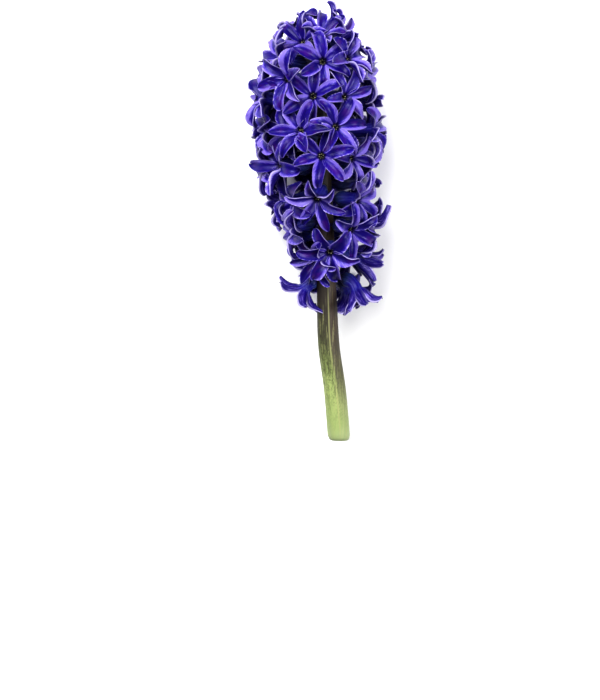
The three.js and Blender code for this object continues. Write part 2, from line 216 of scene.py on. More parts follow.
class Graph:
    """Node tree of one material, with a method for each step that the finishes use."""

    def __init__(self, name: str) -> None:
        """Starts a material that holds only its shader and its output.

        Args:
            name: Name of the material.
        """
        self.material = bpy.data.materials.new(name)
        self.material.use_nodes = True
        self.nodes = self.material.node_tree.nodes
        self.links = self.material.node_tree.links
        self.shader = self.nodes["Principled BSDF"]

    def add(self, kind: str, inputs: dict | None = None, **settings: object) -> bpy.types.Node:
        """Adds a node.

        Args:
            kind: Blender's name for the node type.
            inputs: Values or outputs for its inputs, by name or number.
            settings: The node's own settings.

        Returns:
            The new node.
        """
        node = self.nodes.new(kind)
        for key, value in settings.items():
            setattr(node, key, value)
        for key, value in (inputs or {}).items():
            if isinstance(value, bpy.types.NodeSocket):
                self.links.new(value, node.inputs[key])
            else:
                node.inputs[key].default_value = value
        return node

    def place(self) -> bpy.types.NodeSocket:
        """Position on the object, in metres."""
        return self.add("ShaderNodeTexCoord").outputs["Object"]

    def attribute(self, name: str, output: str = "Vector") -> bpy.types.NodeSocket:
        """A mesh attribute."""
        return self.add("ShaderNodeAttribute", attribute_name=name).outputs[output]

    def parts(self, vector: bpy.types.NodeSocket) -> list[bpy.types.NodeSocket]:
        """The three numbers of a vector."""
        return list(self.add("ShaderNodeSeparateXYZ", {0: vector}).outputs)

    def vector(self, x: object, y: object, z: object) -> bpy.types.NodeSocket:
        """A vector of three numbers."""
        return self.add("ShaderNodeCombineXYZ", {0: x, 1: y, 2: z}).outputs[0]

    def math(self, operation: str, a: object, b: object = 0.0) -> bpy.types.NodeSocket:
        """One step of arithmetic."""
        return self.add("ShaderNodeMath", {0: a, 1: b}, operation=operation).outputs[0]

    def total(self, *terms: tuple[object, float]) -> bpy.types.NodeSocket:
        """Sum of values, each times its weight.

        Args:
            terms: Values with their weights.

        Returns:
            The sum.
        """
        result = self.math("MULTIPLY", *terms[0])
        for value, weight in terms[1:]:
            inputs = {0: value, 1: weight, 2: result}
            result = self.add("ShaderNodeMath", inputs, operation="MULTIPLY_ADD").outputs[0]
        return result

    def product(self, first: object, *others: object) -> bpy.types.NodeSocket:
        """Product of values.

        Args:
            first: A value.
            others: What it is multiplied by.

        Returns:
            The product.
        """
        for other in others:
            first = self.math("MULTIPLY", first, other)
        return first

    def rise(self, value: object, low: float, high: float) -> bpy.types.NodeSocket:
        """Smooth rise from 0 at low to 1 at high, or a fall where low is the greater."""
        settings = {"Value": value, "From Min": low, "From Max": high}
        return self.add("ShaderNodeMapRange", settings, interpolation_type="SMOOTHSTEP").outputs[0]

    def share(self, value: object, low: float, high: float) -> bpy.types.NodeSocket:
        """Straight rise from 0 at low to 1 at high."""
        settings = {"Value": value, "From Min": low, "From Max": high}
        return self.add("ShaderNodeMapRange", settings).outputs[0]

    def stretched(self, vector: object, scale: tuple[float, float, float]) -> bpy.types.NodeSocket:
        """A vector scaled along each axis."""
        return self.add("ShaderNodeMapping", {"Vector": vector, "Scale": scale}).outputs[0]

    def noise(self, vector: object, scale: float, detail: float = 2.0) -> bpy.types.NodeSocket:
        """Cloudy values round a half."""
        node = self.add("ShaderNodeTexNoise", {"Vector": vector, "Scale": scale, "Detail": detail})
        return node.outputs[0]

    def mix(self, share: object, a: object, b: object) -> bpy.types.NodeSocket:
        """Colour a where share is 0 and b where it is 1, each an output or a display colour."""
        a, b = (linear(value) if isinstance(value, str) else value for value in (a, b))
        # The node's colours are its inputs 6 and 7 and its output 2
        return self.add("ShaderNodeMix", {0: share, 6: a, 7: b}, data_type="RGBA").outputs[2]

    def paint(self, colour: object, *layers: tuple) -> bpy.types.NodeSocket:
        """Puts layers over a colour, each by the product of its shares.

        Args:
            colour: What lies under the layers.
            layers: A colour and then its shares, for each layer from the lowest to the highest.

        Returns:
            The colour.
        """
        for code, *shares in layers:
            colour = self.mix(self.product(*shares), colour, code)
        return colour

    def ramp(self, value: object, stops: tuple[tuple[float, str], ...]) -> bpy.types.NodeSocket:
        """Colours along a value from 0 to 1.

        Args:
            value: Where to read.
            stops: Places with their display colours.

        Returns:
            The colour.
        """
        node = self.add("ShaderNodeValToRGB", {0: value})
        elements = node.color_ramp.elements
        for _ in stops[2:]:
            elements.new(0.5)
        for element, (place, code) in zip(elements, stops):
            element.position = place
            element.color = linear(code)
        return node.outputs[0]

    def finish(self, colour: object, roughness: object, height: object, depth: float) -> bpy.types.Material:
        """Joins the pattern to the shader.

        Args:
            colour: Base colour.
            roughness: Roughness.
            height: Height of the relief, from 0 to 1.
            depth: Depth of the relief in metres.

        Returns:
            The finished material.
        """
        bump = self.add("ShaderNodeBump", {"Height": height, "Distance": depth})
        self.links.new(colour, self.shader.inputs["Base Color"])
        self.links.new(roughness, self.shader.inputs["Roughness"])
        self.links.new(bump.outputs[0], self.shader.inputs["Normal"])
        return self.material


@dataclass
class TissueGuides:
    """Values on a floret's tissue that its colours follow, each the output of a node.

    Aside is the distance from a tepal's midline, and the flank is the distance from a midline that the tone
    has moved to one side; the fronts lighten with it, partly the tepals' own pale sides and partly a painted
    highlight on one flank. The length, face and tone are read as they are stored. Veins run along the tepal,
    the grain slants from the midline to the margins, and the clouds have no direction.
    """

    aside: bpy.types.NodeSocket
    flank: bpy.types.NodeSocket
    length: bpy.types.NodeSocket
    face: bpy.types.NodeSocket
    tone: bpy.types.NodeSocket
    veins: bpy.types.NodeSocket
    grain: bpy.types.NodeSocket
    clouds: bpy.types.NodeSocket


@dataclass(frozen=True)
class PetalFinish:
    """Waxy blue-violet tissue, deep in the middle, with pale margins, purple patches and a dark blue tube.

    It reads the place attribute: across the tepal from -1 to 1, along the floret from 0 at the root over 1
    at the mouth to 2 at the tip, and the face of the sheet. The tone attribute makes each tepal a little
    different. From the first painted shade height down to the second, in millimetres, the fronts darken by
    the painted shade depth: painted shade, where the upper florets shade the lower ones.

    The fronts go from deep over body to light at the front stops, along a sum of the guides in their
    shares. The rim is where the margin's colour starts and is full, as a place across the tepal. Gloss is
    the tint of the highlights, and the relief is in metres.
    """

    deep: str = "120262"
    body: str = "260E8C"
    light: str = "7E6CC6"
    margin: str = "CAC0EC"
    blush: str = "3A0A6C"
    back: str = "1E0E68"
    shoulder: str = "162850"
    stripe: str = "4656A0"
    tube: str = "1C0A80"
    pedicel: str = "1E1250"
    # Throat: near-black painted shade inside the tube
    throat: str = "06041C"
    gloss: str = "CCC6F0"
    front_stops: tuple[float, float, float] = (0.49, 0.71, 1.0)
    grain_share: float = 0.6
    cloud_share: float = 0.22
    vein_share: float = 0.2
    tone_share: float = 0.1
    # Weight of the pale sides: partly the tepals' own colour, partly painted highlight on one flank
    pale_side_and_highlight_share: float = 0.62
    blush_share: float = 0.75
    rim: tuple[float, float] = (0.87, 0.99)
    rim_share: float = 0.85
    # Painted shade: the fronts darken towards the foot of the head, where the upper florets shade the lower
    # ones
    painted_shade_from: float = 30.0
    painted_shade_to: float = -30.0
    painted_shade_depth: float = 0.13
    smoothest: float = 0.26
    roughness_span: float = 0.16
    specular: float = 0.45
    relief: float = 0.00014

    def guides(self, graph: Graph) -> TissueGuides:
        """Reads the attributes and makes the noises, which are stretched along their streaks.

        The tone is one of the places in each noise of the tissue, so that no two tepals have the same
        streaks. The grain's slant is the place along the tepal less the distance from its midline.

        Args:
            graph: The material's nodes.

        Returns:
            What the colours follow.
        """
        across, length, face = graph.parts(graph.attribute("place"))
        tone = graph.attribute("tone", "Fac")
        aside = graph.math("ABSOLUTE", across)
        slant = graph.total((length, 10.0), (aside, -4.0))
        return TissueGuides(
            aside=aside,
            flank=graph.math("ABSOLUTE", graph.total((across, 1.0), (tone, 0.32))),
            length=length,
            face=face,
            tone=tone,
            veins=graph.noise(graph.vector(graph.product(across, 4.0), length, tone), 2.4, 3.0),
            grain=graph.noise(graph.vector(slant, graph.product(across, 1.5), tone), 1.9, 2.0),
            clouds=graph.noise(graph.place(), 160.0),
        )

    def front_colour(self, graph: Graph, on: TissueGuides) -> bpy.types.NodeSocket:
        """Colour of the tepals' fronts and of the throat.

        The shade is a weighted sum of the guides, less a painted shade that darkens the fronts towards the
        foot of the head, and picks a colour from deep over body to light. Purple patches near the midline, a
        broken pale line along the margins and the dark throat, which is painted shade inside the tube, lie
        over it.

        Args:
            graph: The material's nodes.
            on: What the colour follows.

        Returns:
            The colour.
        """
        # Painted shade: darker towards the foot of the head, where the upper florets shade the lower ones
        low = graph.rise(graph.parts(graph.place())[1], self.painted_shade_from * METRE, self.painted_shade_to * METRE)
        # Paler to the margins and more on one flank: partly the tepals' own pale sides, partly painted
        # highlight
        flank = graph.rise(on.flank, 0.38, 1.14)
        shade = graph.total(
            (on.veins, self.vein_share),
            (on.clouds, self.cloud_share),
            (on.grain, self.grain_share),
            (on.tone, self.tone_share),
            (low, -self.painted_shade_depth),
            (flank, self.pale_side_and_highlight_share),
        )
        middle = graph.product(graph.rise(on.aside, 0.8, 0.4), graph.rise(on.clouds, 0.46, 0.62))
        broken = graph.product(graph.rise(on.grain, 0.44, 0.62), graph.rise(on.tone, -1.2, 0.3))
        rim = graph.rise(on.aside, *self.rim)
        return graph.paint(
            graph.ramp(shade, tuple(zip(self.front_stops, (self.deep, self.body, self.light)))),
            (self.blush, middle, graph.rise(on.length, 1.15, 1.5), self.blush_share),
            (self.margin, rim, broken, graph.rise(on.length, 1.05, 1.3), self.rim_share),
            # Painted shade: the inside of the tube goes near-black below the mouth
            (self.throat, graph.rise(on.length, 1.12, 0.98)),
        )

    def back_colour(self, graph: Graph, on: TissueGuides) -> bpy.types.NodeSocket:
        """Colour of the tepals' backs: streaks along them, a deep midline and pale margins.

        Args:
            graph: The material's nodes.
            on: What the colour follows.

        Returns:
            The colour.
        """
        streaks = graph.total((on.veins, 0.7), (on.grain, 0.3))
        return graph.paint(
            graph.ramp(streaks, ((0.36, self.deep), (0.52, self.back), (0.72, self.light))),
            (self.deep, graph.rise(on.aside, 0.3, 0.05)),
            (self.margin, graph.rise(on.aside, 0.86, 1.0), 0.7),
        )

    def tube_colour(self, graph: Graph, on: TissueGuides) -> bpy.types.NodeSocket:
        """Colour of the tube's outside: greenish shoulder, pale stripes on the veins, deep midlines.

        Args:
            graph: The material's nodes.
            on: What the colour follows.

        Returns:
            The colour.
        """
        stages = ((0.3, self.pedicel), (0.5, self.shoulder), (0.75, self.tube))
        return graph.paint(
            graph.ramp(on.length, stages),
            (self.stripe, graph.rise(on.veins, 0.48, 0.64), graph.rise(on.length, 0.3, 0.5), 0.7),
            (self.deep, graph.rise(on.aside, 0.3, 0.0), 0.5),
        )

    def material(self) -> bpy.types.Material:
        """Makes the material.

        The backs take over from the tube past the mouth. The roughness rises with the clouds, and the
        relief is the veins with a little of a fine noise.

        Returns:
            The material.
        """
        graph = Graph("waxy petal")
        on = self.guides(graph)
        past_mouth = graph.rise(on.length, 0.95, 1.3)
        behind = graph.mix(past_mouth, self.tube_colour(graph, on), self.back_colour(graph, on))
        colour = graph.mix(on.face, behind, self.front_colour(graph, on))
        roughness = graph.math("ADD", graph.product(on.clouds, self.roughness_span), self.smoothest)
        height = graph.total((on.veins, 0.85), (graph.noise(graph.place(), 2600.0), 0.15))
        graph.shader.inputs["Specular IOR Level"].default_value = self.specular
        graph.shader.inputs["Specular Tint"].default_value = linear(self.gloss)
        return graph.finish(colour, roughness, height, self.relief)


@dataclass(frozen=True)
class AntherFinish:
    """Dark, dusty pollen sacs with yellow-green specks."""

    sac: str = "3A3650"
    pollen: str = "DAD6A6"
    smoothest: float = 0.6
    roughness_span: float = 0.3
    relief: float = 0.0001

    def material(self) -> bpy.types.Material:
        """Makes the material: where a fine noise is high there is pollen, which is rougher and raised.

        Returns:
            The material.
        """
        graph = Graph("dusty anther")
        specks = graph.noise(graph.place(), 1500.0, 1.0)
        colour = graph.mix(graph.rise(specks, 0.5, 0.6), self.sac, self.pollen)
        roughness = graph.math("ADD", graph.product(specks, self.roughness_span), self.smoothest)
        return graph.finish(colour, roughness, specks, self.relief)


@dataclass(frozen=True)
class StalkFinish:
    """Fleshy stalk, pale green at the cut and purple-brown towards the head, with streaks and fine flecks.

    The shades are its colours along the flower, as (height in millimetres, display colour) pairs. The rind,
    pith and bundle are colours of the cut face. The ridge is the place across the stalk of one pale line,
    which is a painted highlight, and the wandering is how far clouds move the shades, as a share of the
    stalk. The relief is in metres.
    """

    shades: tuple[tuple[float, str], ...] = (
        (-135.0, "98A478"),
        (-122.0, "92A266"),
        (-105.0, "98A668"),
        (-87.0, "707C48"),
        (-66.0, "44462A"),
        (-45.0, "2A2516"),
        (-10.0, "321814"),
        (20.0, "140A12"),
        (124.0, "1E162A"),
    )
    streak: str = "241E12"
    # Red-brown on the +X side: partly the stalk's own colour, partly painted shade away from the key light
    flush_and_shade: str = "382210"
    fleck: str = "241A16"
    # Colour of the painted highlights: pale streaks and one pale line on the bare part
    painted_highlight: str = "9E9E6C"
    rind: str = "8A9862"
    pith: str = "C0C6A0"
    bundle: str = "74824C"
    # Place across the stalk of the painted highlight line
    ridge: float = 0.14
    wandering: float = 0.14
    flush_and_shade_share: float = 0.78
    streak_share: float = 0.6
    painted_highlight_share: float = 0.4
    highlight_line_share: float = 0.55
    fleck_share: float = 0.6
    smoothest: float = 0.4
    roughness_span: float = 0.25
    relief: float = 0.0003

    def cut_face(self, graph: Graph, inner: object) -> bpy.types.NodeSocket:
        """Colour of the cut face: rind at its edge, pith further in, and darker bundles.

        Args:
            graph: The material's nodes.
            inner: The way in from the edge, from 0 to 1.

        Returns:
            The colour.
        """
        flesh = graph.mix(graph.rise(inner, 0.08, 0.5), self.rind, self.pith)
        spots = graph.rise(graph.noise(graph.place(), 900.0, 1.0), 0.55, 0.65)
        return graph.paint(flesh, (self.bundle, spots, 0.7))

    def material(self, cut: float, tip: float, shift: float) -> bpy.types.Material:
        """Makes the material.

        The height, which clouds make wander a little, picks a shade. Over it lie a red-brown tint on one
        side, which is partly the stalk's own colour and partly painted shade, dark streaks, pale streaks and
        a pale line on the bare part, which are painted highlights, and fine dark flecks. What is dark fades
        out towards the cut. The around attribute gives the place across the stalk and the way in on the cut
        face.

        Args:
            cut: Height of the cut in millimetres.
            tip: Height of the tip in millimetres.
            shift: What is added to a height to give the place on the object.

        Returns:
            The material.
        """
        graph = Graph("fleshy stalk")
        place = graph.place()
        aside, inner, _ = graph.parts(graph.attribute("around"))
        rise = graph.share(graph.parts(place)[1], (cut + shift) * METRE, (tip + shift) * METRE)
        stops = tuple(((at - cut) / (tip - cut), code) for at, code in self.shades)
        streaks = graph.noise(graph.stretched(place, (1.0, 0.04, 1.0)), 1000.0, 3.0)
        clouds = graph.noise(graph.stretched(place, (1.0, 0.2, 1.0)), 90.0, 1.0)
        specks = graph.noise(graph.stretched(place, (1.0, 0.3, 1.0)), 2100.0, 1.0)
        grown = graph.rise(rise, -0.02, 0.24)
        bare = graph.rise(rise, 0.42, 0.32)
        # Painted highlight: one pale line along the stalk at the ridge place
        off_highlight_line = graph.math("ABSOLUTE", graph.math("SUBTRACT", aside, self.ridge))
        ridge = graph.rise(off_highlight_line, 0.1, 0.03)
        wandering = graph.total((rise, 1.0), (clouds, self.wandering), (1.0, -self.wandering / 2))
        colour = graph.paint(
            graph.ramp(wandering, stops),
            # Red-brown on the +X side: partly the stalk's own colour, partly painted shade away from the key
            # light
            (self.flush_and_shade, graph.rise(aside, 0.16, 0.36), grown, self.flush_and_shade_share),
            (self.streak, graph.rise(streaks, 0.48, 0.66), grown, self.streak_share),
            # Painted highlights: pale streaks on the bare part
            (self.painted_highlight, graph.rise(streaks, 0.44, 0.32), bare, self.painted_highlight_share),
            (self.fleck, graph.rise(specks, 0.5, 0.62), grown, self.fleck_share),
            # Painted highlight: one pale line along the bare part
            (self.painted_highlight, ridge, graph.rise(clouds, 0.4, 0.6), bare, self.highlight_line_share),
            (self.cut_face(graph, inner), graph.rise(inner, 0.0, 0.1)),
        )
        roughness = graph.math("ADD", graph.product(clouds, self.roughness_span), self.smoothest)
        return graph.finish(colour, roughness, streaks, self.relief)


# The stalk's line, which the florets stand on


@dataclass(frozen=True)
class StalkLine:
    """Line and radius of the stalk, as (height along the flower, value) pairs in millimetres."""

    x: Pairs = ((-135, 14.6), (-100, 11.2), (-75, 7.6), (-45, 6.2), (0, 5.6), (60, 3.6), (128, 1.6))
    z: Pairs = ((-135, 21), (-95, 25.2), (-45, 29.2), (0, 32), (60, 34.6), (128, 36))
    radius: Pairs = ((-135, 7.2), (-60, 6.6), (-10, 5.2), (128, 1.8))
    cut: float = -135.0
    tip: float = 124.0

    def centre(self, height: Array) -> Array:
        """Points on the line at the given heights, in an array of shape (..., 3)."""
        return np.stack([along(self.x, height), height, along(self.z, height)], axis=-1)


@dataclass
class Crowd:
    """Where the florets stand and how each is turned, with one value a floret in each array.

    The angle is in radians round the stalk, from straight up towards +X. The pitch tips a floret towards
    the flower's tip and the spin turns it on its tube, both in degrees. The size and the curl of its tepals
    are shares of the full ones, and a fixed floret isn't moved.
    """

    seed: Array
    angle: Array
    height: Array
    pitch: Array
    spin: Array
    size: Array
    curl: Array
    fixed: Array


@dataclass
class Mouths:
    """Centreline of each floret and the directions at its mouth, in arrays of shape (florets, 3)."""

    root: Array
    bend: Array
    throat: Array
    facing: Array
    up: Array
    right: Array


@dataclass
class Laws:
    """How each tepal lies: one value a tepal, in arrays of shape (florets, 6). Angles are in degrees.

    The turn is the angle round the floret's axis. The lean away from the way that the floret faces starts
    from its first value and grows by the span up to the tip.
    """

    length: Array
    turn: Array
    first: Array
    span: Array


@dataclass(frozen=True)
class Seen:
    """A floret that the photograph shows plainly. Its values are as the crowd's, all angles in degrees."""

    angle: float
    height: float
    pitch: float
    spin: float
    curl: float


SEEN = (
    Seen(10, 99, 8, 36, 1),
    Seen(-4, 79, 2, 27, 1),
    Seen(0, 44, 4, 17, 1),
    Seen(-12, 19, -36, 46, 0.65),
    Seen(-42, -17, -30, 54, 0.75),
    Seen(-32, 111, 22, 24, 0.75),
    Seen(72, 114, 33, 30, 0.6),
    Seen(-32, 89, 1, 13, 0.95),
    Seen(-38, 58, 2, 48, 1),
    Seen(20, 61, 9, 2, 0.95),
    Seen(44, 101, 18, 20, 1),
    Seen(82, 94, 8, 21, 0.97),
    Seen(38, 79, 3, 10, 1),
    Seen(46, 43, -4, 48, 1),
    Seen(-88, 39, 2, 34, 1),
    Seen(-62, 17, -16, 31, 1),
    Seen(54, 18, -5, 24, 1),
    Seen(38, 0, -19, 39, 0.9),
    Seen(90, -19, -21, 39, 0.35),
    Seen(-88, -37, -50, 48, 0.8),
    Seen(60, -37, -66, 18, 0.45),
    Seen(-62, 103, 18, 10, 0.9),
    Seen(76, 60, 2, 15, 1),
    Seen(16, 115, 52, 20, 0.7),
)
BARE = ((-6.0, 0.0), (-25.0, 33.0), (8.0, 71.0), (0.0, -45.0), (22.0, -36.0), (24.0, -20.0), (-20.0, -38.0))


@dataclass(frozen=True)
class Arrangement:
    """The rule that places the florets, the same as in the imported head.

    Each floret follows the last by the golden angle and has the same share of the head's surface. The
    florets of the photograph take the nearest places, and the others push each other apart and turn into
    the gaps.

    Reach, lean, pitch and size are (height, value) pairs: how far the mouths stand from the stalk, how far
    the crowd leans to +X, how the florets pitch and how large they are. Jitter is the spread of the angle,
    height, pitch, spin and size, and tepal_jitter that of a tepal's length, turn, first lean and span of
    lean. Every third floret stands out by the layer height, and every third stands back by it. Lengths are
    in millimetres, angles in degrees.
    """

    florets: int = 58
    divergence: float = 137.5
    first_angle: float = 44.0
    lowest: float = -38.0
    highest: float = 121.0
    slices: int = 160
    lowest_root: float = -32.0
    highest_root: float = 120.0
    spacing: float = 27.0
    layers: int = 3
    layer_height: float = 3.0
    settling_steps: int = 40
    settling_share: float = 0.12
    spins_tried: int = 6
    crowd_softening: float = 4.0
    jitter: tuple[float, ...] = (5.0, 1.5, 9.0, 30.0, 0.05)
    reach: Pairs = (
        (-38, 16.6), (-20, 15.9), (0, 21.5), (25, 25.6), (60, 30.2),
        (80, 30), (100, 25), (110, 18.1), (117, 13.7), (122, 4.1),
    )
    lean: Pairs = ((-38, 6.3), (-13, 6.5), (5, -1), (24, -0.4), (60, -3.4), (90, -4.3), (122, -2.9))
    pitch: Pairs = ((-38, -50), (-15, -19), (20, -6), (60, 6), (88, 2), (105, 16), (115, 63), (122, 79))
    size: Pairs = ((-38, 0.94), (10, 1), (95, 0.98), (112, 0.93), (122, 0.82))
    root_sink: float = 0.4
    root_drop: float = 0.6
    tube_bend: float = 0.55
    mouth_radius: float = 4.4
    tepal_length: float = 17.5
    start_lean: float = 48.0
    end_lean: float = 128.0
    outer_share: float = 1.03
    inner_share: float = 0.97
    tepal_jitter: tuple[float, ...] = (0.08, 8.0, 10.0, 22.0)
    bends: int = 6
    parting_steps: int = 24
    parting_places: tuple[float, ...] = (0.38, 0.74, 1.0)
    parting_gap: float = 3.0
    parting_hold: float = 3.2
    parting_range: float = 14.0
    parting_level: float = 0.5
    parting_face: float = 1.0
    most_parted: float = 30.0

    def heights(self) -> Array:
        """Heights that give each floret the same share of the surface, and small ones less.

        The head is cut into thin slices, whose surface goes with the reach over the square of the size.
        Each floret takes the slice at which the running sum of the surface is its own share of the whole.

        Returns:
            The height of each floret.
        """
        thickness = (self.highest - self.lowest) / self.slices
        middles = self.lowest + (np.arange(self.slices) + 0.5) * thickness
        sums = np.append(0, np.cumsum(along(self.reach, middles) / along(self.size, middles) ** 2))
        wanted = sums[-1] * (np.arange(self.florets) + 0.5) / self.florets
        return self.lowest + (np.searchsorted(sums, wanted) - 0.5) * thickness

    def apart(self, angle: Array, height: Array, angles: Array, heights: Array) -> tuple[Array, ...]:
        """Way from each place to each other on the unrolled surface of the head.

        Args:
            angle: Angles of the places, in radians.
            height: Heights of the places.
            angles: Angles of the others.
            heights: Heights of the others.

        Returns:
            The way round, the way up, the reach half way and the distance.
        """
        turn = angle[:, None] - angles
        reach = (along(self.reach, height)[:, None] + along(self.reach, heights)) / 2
        way_round = np.arctan2(np.sin(turn), np.cos(turn)) * reach
        way_up = height[:, None] - heights
        return way_round, way_up, reach, np.hypot(way_round, way_up)

    def first_places(self) -> Crowd:
        """The spiral with its jitter, in which the seen florets take the nearest free places.

        A floret's angle is the divergence times its number, and its height the next of the shares.

        Returns:
            The florets.
        """
        seed = np.arange(self.florets)
        height = self.heights()
        turn, rise, pitch, spin, size = (draws(seed, len(self.jitter)) * self.jitter).T
        crowd = Crowd(
            seed=seed,
            angle=np.radians(self.first_angle + self.divergence * seed + turn),
            height=height + rise,
            pitch=along(self.pitch, height) + pitch,
            spin=spin.copy(),
            size=1 + size,
            curl=np.ones(self.florets),
            fixed=np.zeros(self.florets, bool),
        )
        for seen in SEEN:
            spot = np.array([np.radians(seen.angle)]), np.array([float(seen.height)])
            distance = self.apart(crowd.angle, crowd.height, *spot)[3][:, 0]
            nearest = np.argmin(np.where(crowd.fixed, np.inf, distance))
            crowd.angle[nearest], crowd.height[nearest] = np.radians(seen.angle), seen.height
            crowd.pitch[nearest], crowd.spin[nearest] = seen.pitch, seen.spin
            crowd.size[nearest], crowd.curl[nearest], crowd.fixed[nearest] = 1, seen.curl, True
        return crowd

    def settle(self, crowd: Crowd) -> None:
        """Lets the free florets push each other apart, as growing florets do.

        In each step a floret moves away from every other and every bare place that is nearer than the
        spacing, by a share of what is missing.

        Args:
            crowd: The florets, which are moved.
        """
        bare_angle, bare_height = np.array(BARE).T
        for _ in range(self.settling_steps):
            angles = np.append(crowd.angle, np.radians(bare_angle))
            heights = np.append(crowd.height, bare_height)
            way_round, way_up, reach, distance = self.apart(crowd.angle, crowd.height, angles, heights)
            near = (distance <= self.spacing) & ~np.eye(*distance.shape, dtype=bool) & ~crowd.fixed[:, None]
            share = self.settling_share * (self.spacing - distance) / np.where(distance > 0, distance, 1)
            push = np.where(near, share, 0)
            crowd.angle = crowd.angle + (push * way_round / reach).sum(1)
            risen = np.clip(crowd.height + (push * way_up).sum(1), self.lowest, self.highest)
            crowd.height = np.where(crowd.fixed, crowd.height, risen)

    def mouths(self, crowd: Crowd, line: StalkLine, lifted: Array) -> Mouths:
        """Centrelines, which leave the stalk and turn to the way that each floret faces.

        A mouth stands at the reach and its layer's height from the stalk's line. Its root is lower by the
        root drop times the reach and the tangent of half the pitch, and stands in the stalk at a share of
        its radius. The bend lies behind the mouth by a share of the way between the two.

        Args:
            crowd: The florets.
            line: The stalk's line.
            lifted: How far each mouth is raised to keep the floret above the surface.

        Returns:
            The centrelines and the directions at the mouths.
        """
        pitch = np.radians(crowd.pitch)
        level = np.zeros_like(pitch)
        out = np.stack([np.sin(crowd.angle), level, np.cos(crowd.angle)], axis=-1)
        facing = out * np.cos(pitch)[:, None] + np.stack([level, np.sin(pitch), level], axis=-1)
        reach = along(self.reach, crowd.height) + self.layer_height * (crowd.seed % self.layers - 1)
        throat = line.centre(crowd.height) + out * reach[:, None]
        throat += np.stack([along(self.lean, crowd.height), level, lifted], axis=-1)
        drop = self.root_drop * reach * np.tan(pitch / 2)
        root_height = np.clip(crowd.height - drop, self.lowest_root, self.highest_root)
        root = line.centre(root_height) + out * (self.root_sink * along(line.radius, root_height))[:, None]
        length = np.linalg.norm(throat - root, axis=-1, keepdims=True)
        up = unit(np.array([0.0, 1.0, 0.0]) - facing * facing[:, 1:2])
        bend = throat - facing * self.tube_bend * length
        return Mouths(root, bend, throat, facing, up, np.cross(up, facing))

    def scale(self, crowd: Crowd) -> Array:
        """Size of each floret as a share of a full one."""
        return crowd.size * along(self.size, crowd.height)

    def laws(self, crowd: Crowd, spin: Array, jitter: float) -> Laws:
        """How the tepals lie before they part.

        Args:
            crowd: The florets.
            spin: How far each floret is turned on its tube, in degrees.
            jitter: 1 for each tepal's own draws, 0 for tepals that are all alike.

        Returns:
            The laws.
        """
        count = len(crowd.seed)
        wobble = draws(crowd.seed + LAW_SEEDS, 4 * TEPALS).reshape(count, TEPALS, 4)
        wobble = jitter * wobble * self.tepal_jitter
        longer, aside, forward, further = wobble.transpose(2, 0, 1)
        share = 1 + jitter * (np.where(np.arange(TEPALS) % 2, self.inner_share, self.outer_share) - 1)
        return Laws(
            length=self.tepal_length * self.scale(crowd)[:, None] * share * (1 + longer),
            turn=spin[:, None] + 360 / TEPALS * np.arange(TEPALS) + aside,
            first=crowd.curl[:, None] * (self.start_lean + forward),
            span=crowd.curl[:, None] * (self.end_lean - self.start_lean + further),
        )

    def tepal_places(self, mouths: Mouths, laws: Laws, places: tuple[float, ...]) -> tuple[Array, Array]:
        """Points on the midlines and the ways that the tepals' fronts face there.

        Each midline leaves the rim of the mouth and leans further back the further it goes, in short steps.

        Args:
            mouths: The mouths.
            laws: How the tepals lie.
            places: Places along the tepals from 0 to 1.

        Returns:
            Two arrays of shape (florets, 6, places, 3).
        """
        at = np.array(places)[:, None]
        steps = (np.arange(self.bends) + 0.5) / self.bends
        lean = np.radians(laws.first[..., None, None] + laws.span[..., None, None] * at * steps)
        length = laws.length[..., None] * at[:, 0] / self.bends
        outward = self.mouth_radius + length * np.sin(lean).sum(-1)
        forward = length * np.cos(lean).sum(-1)
        angle = np.radians(laws.turn)[..., None]
        out = (np.cos(angle) * mouths.right[:, None] + np.sin(angle) * mouths.up[:, None])[:, :, None]
        facing = mouths.facing[:, None, None]
        point = mouths.throat[:, None, None] + out * outward[..., None] + facing * forward[..., None]
        last = lean[..., -1, None]
        return point, facing * np.sin(last) - out * np.cos(last)

    def tepal_points(self, crowd: Crowd, mouths: Mouths, spin: Array) -> Array:
        """Points half way along and at the end of each tepal, of shape (florets, 12, 3)."""
        points, _ = self.tepal_places(mouths, self.laws(crowd, spin, 0.0), (0.5, 1.0))
        return points.reshape(self.florets, -1, 3)

    def turn_into_gaps(self, crowd: Crowd, line: StalkLine) -> None:
        """Turns each free floret on its tube until its tepals lie in the gaps that its neighbours leave.

        A turn costs the sum, over its points and its neighbours' points, of one over their squared distance
        with a little added. The turn that costs least is taken.

        Args:
            crowd: The florets, which are turned.
            line: The stalk's line.
        """
        mouths = self.mouths(crowd, line, np.zeros(self.florets))
        taken = self.tepal_points(crowd, mouths, crowd.spin)
        tries = 360 / TEPALS * np.arange(self.spins_tried) / self.spins_tried
        turns = [self.tepal_points(crowd, mouths, crowd.spin + more) for more in tries]
        distance = self.apart(crowd.angle, crowd.height, crowd.angle, crowd.height)[3]
        near = (distance < 2 * self.spacing) & ~np.eye(self.florets, dtype=bool)
        for i in np.flatnonzero(~crowd.fixed):
            others = taken[near[i]].reshape(-1, 1, 3)
            squares = [((others - turn[i]) ** 2).sum(-1) for turn in turns]
            best = int(np.argmin([(1 / (self.crowd_softening + square)).sum() for square in squares]))
            crowd.spin[i] += tries[best]
            taken[i] = turns[best][i]

    def crowd(self, line: StalkLine) -> Crowd:
        """Places the florets, lets them settle and turns them.

        Args:
            line: The stalk's line.

        Returns:
            The florets in their last places.
        """
        crowd = self.first_places()
        self.settle(crowd)
        self.turn_into_gaps(crowd, line)
        return crowd

